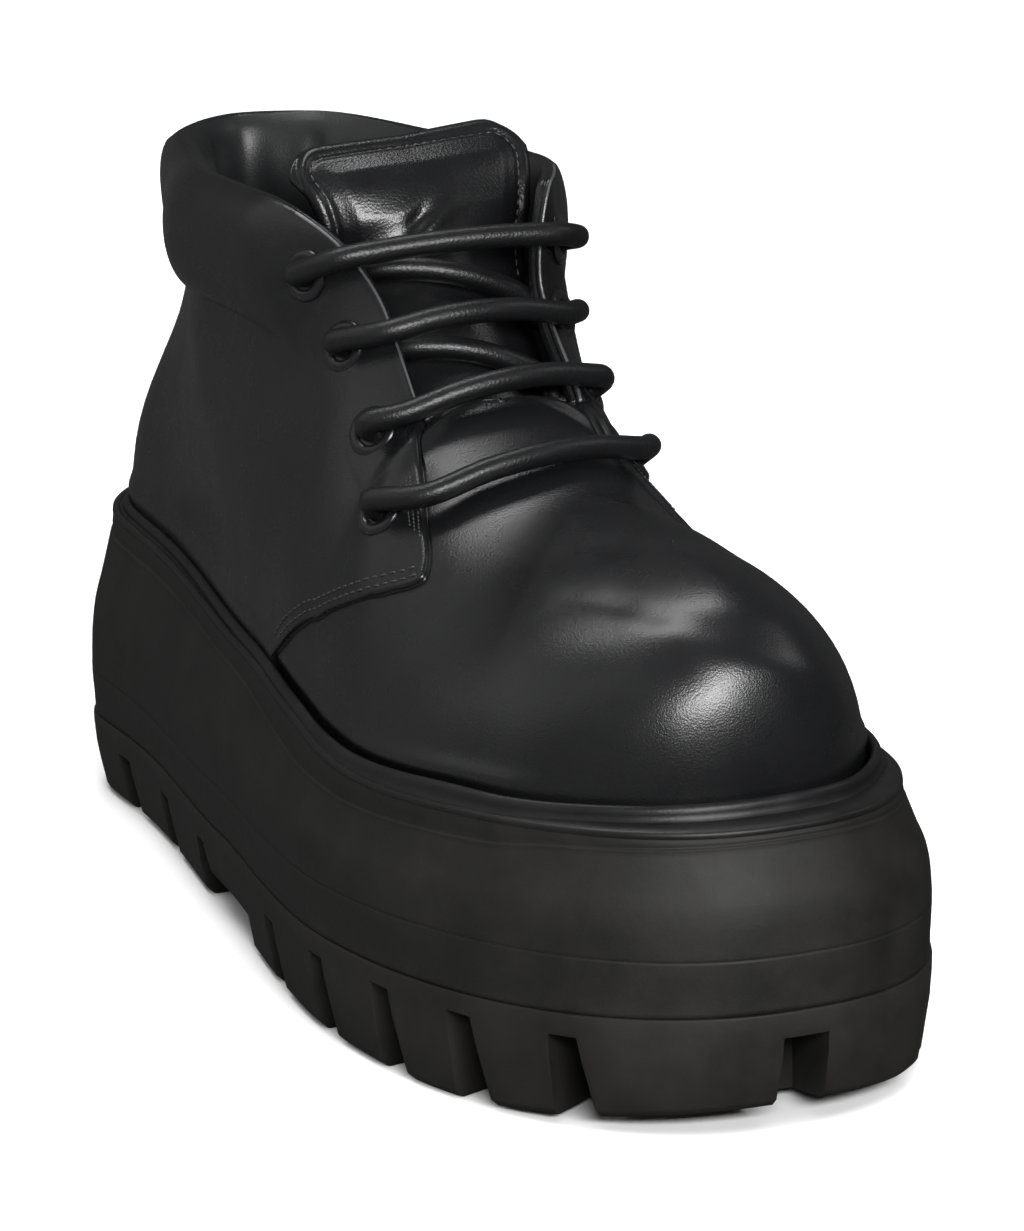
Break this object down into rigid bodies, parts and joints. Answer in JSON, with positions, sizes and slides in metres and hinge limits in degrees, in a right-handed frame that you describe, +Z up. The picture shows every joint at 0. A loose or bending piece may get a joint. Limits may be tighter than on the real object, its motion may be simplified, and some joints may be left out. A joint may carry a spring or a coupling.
{
  "type": "chunky lace-up shoe",
  "caption": "Right-foot low lace-up boot in smooth black leather on a thick stepped platform sole with side lugs; hollow upper, open at collar and throat.",
  "frame": {"origin": "middle of the shoe's bounding box, on the plane that the sole rests on", "axes": "-Y points to the toe, +Y to the heel, +X to the medial (inner) side, -X to the lateral side, +Z up"},
  "size_m": [0.1156, 0.2986, 0.1707],
  "materials": {
    "black_leather": "smooth, soft sheen",
    "black_rubber": "matte",
    "welt_rubber": "satin",
    "footbed_leather": "matte",
    "black_metal": "satin, shiny on the inner lip",
    "lace_leather": "satin"
  },
  "bodies": {
    "root": {"outsole": "black_rubber", "midsole": "black_rubber", "welt": "welt_rubber", "insole": "footbed_leather", "upper": "black_leather", "tongue": "black_leather", "lace": "lace_leather", "eyelet_lateral_1": "black_metal", "eyelet_lateral_2": "black_metal", "eyelet_lateral_3": "black_metal", "eyelet_lateral_4": "black_metal", "eyelet_medial_1": "black_metal", "eyelet_medial_2": "black_metal", "eyelet_medial_3": "black_metal", "eyelet_medial_4": "black_metal"}
  },
  "joints": []
}
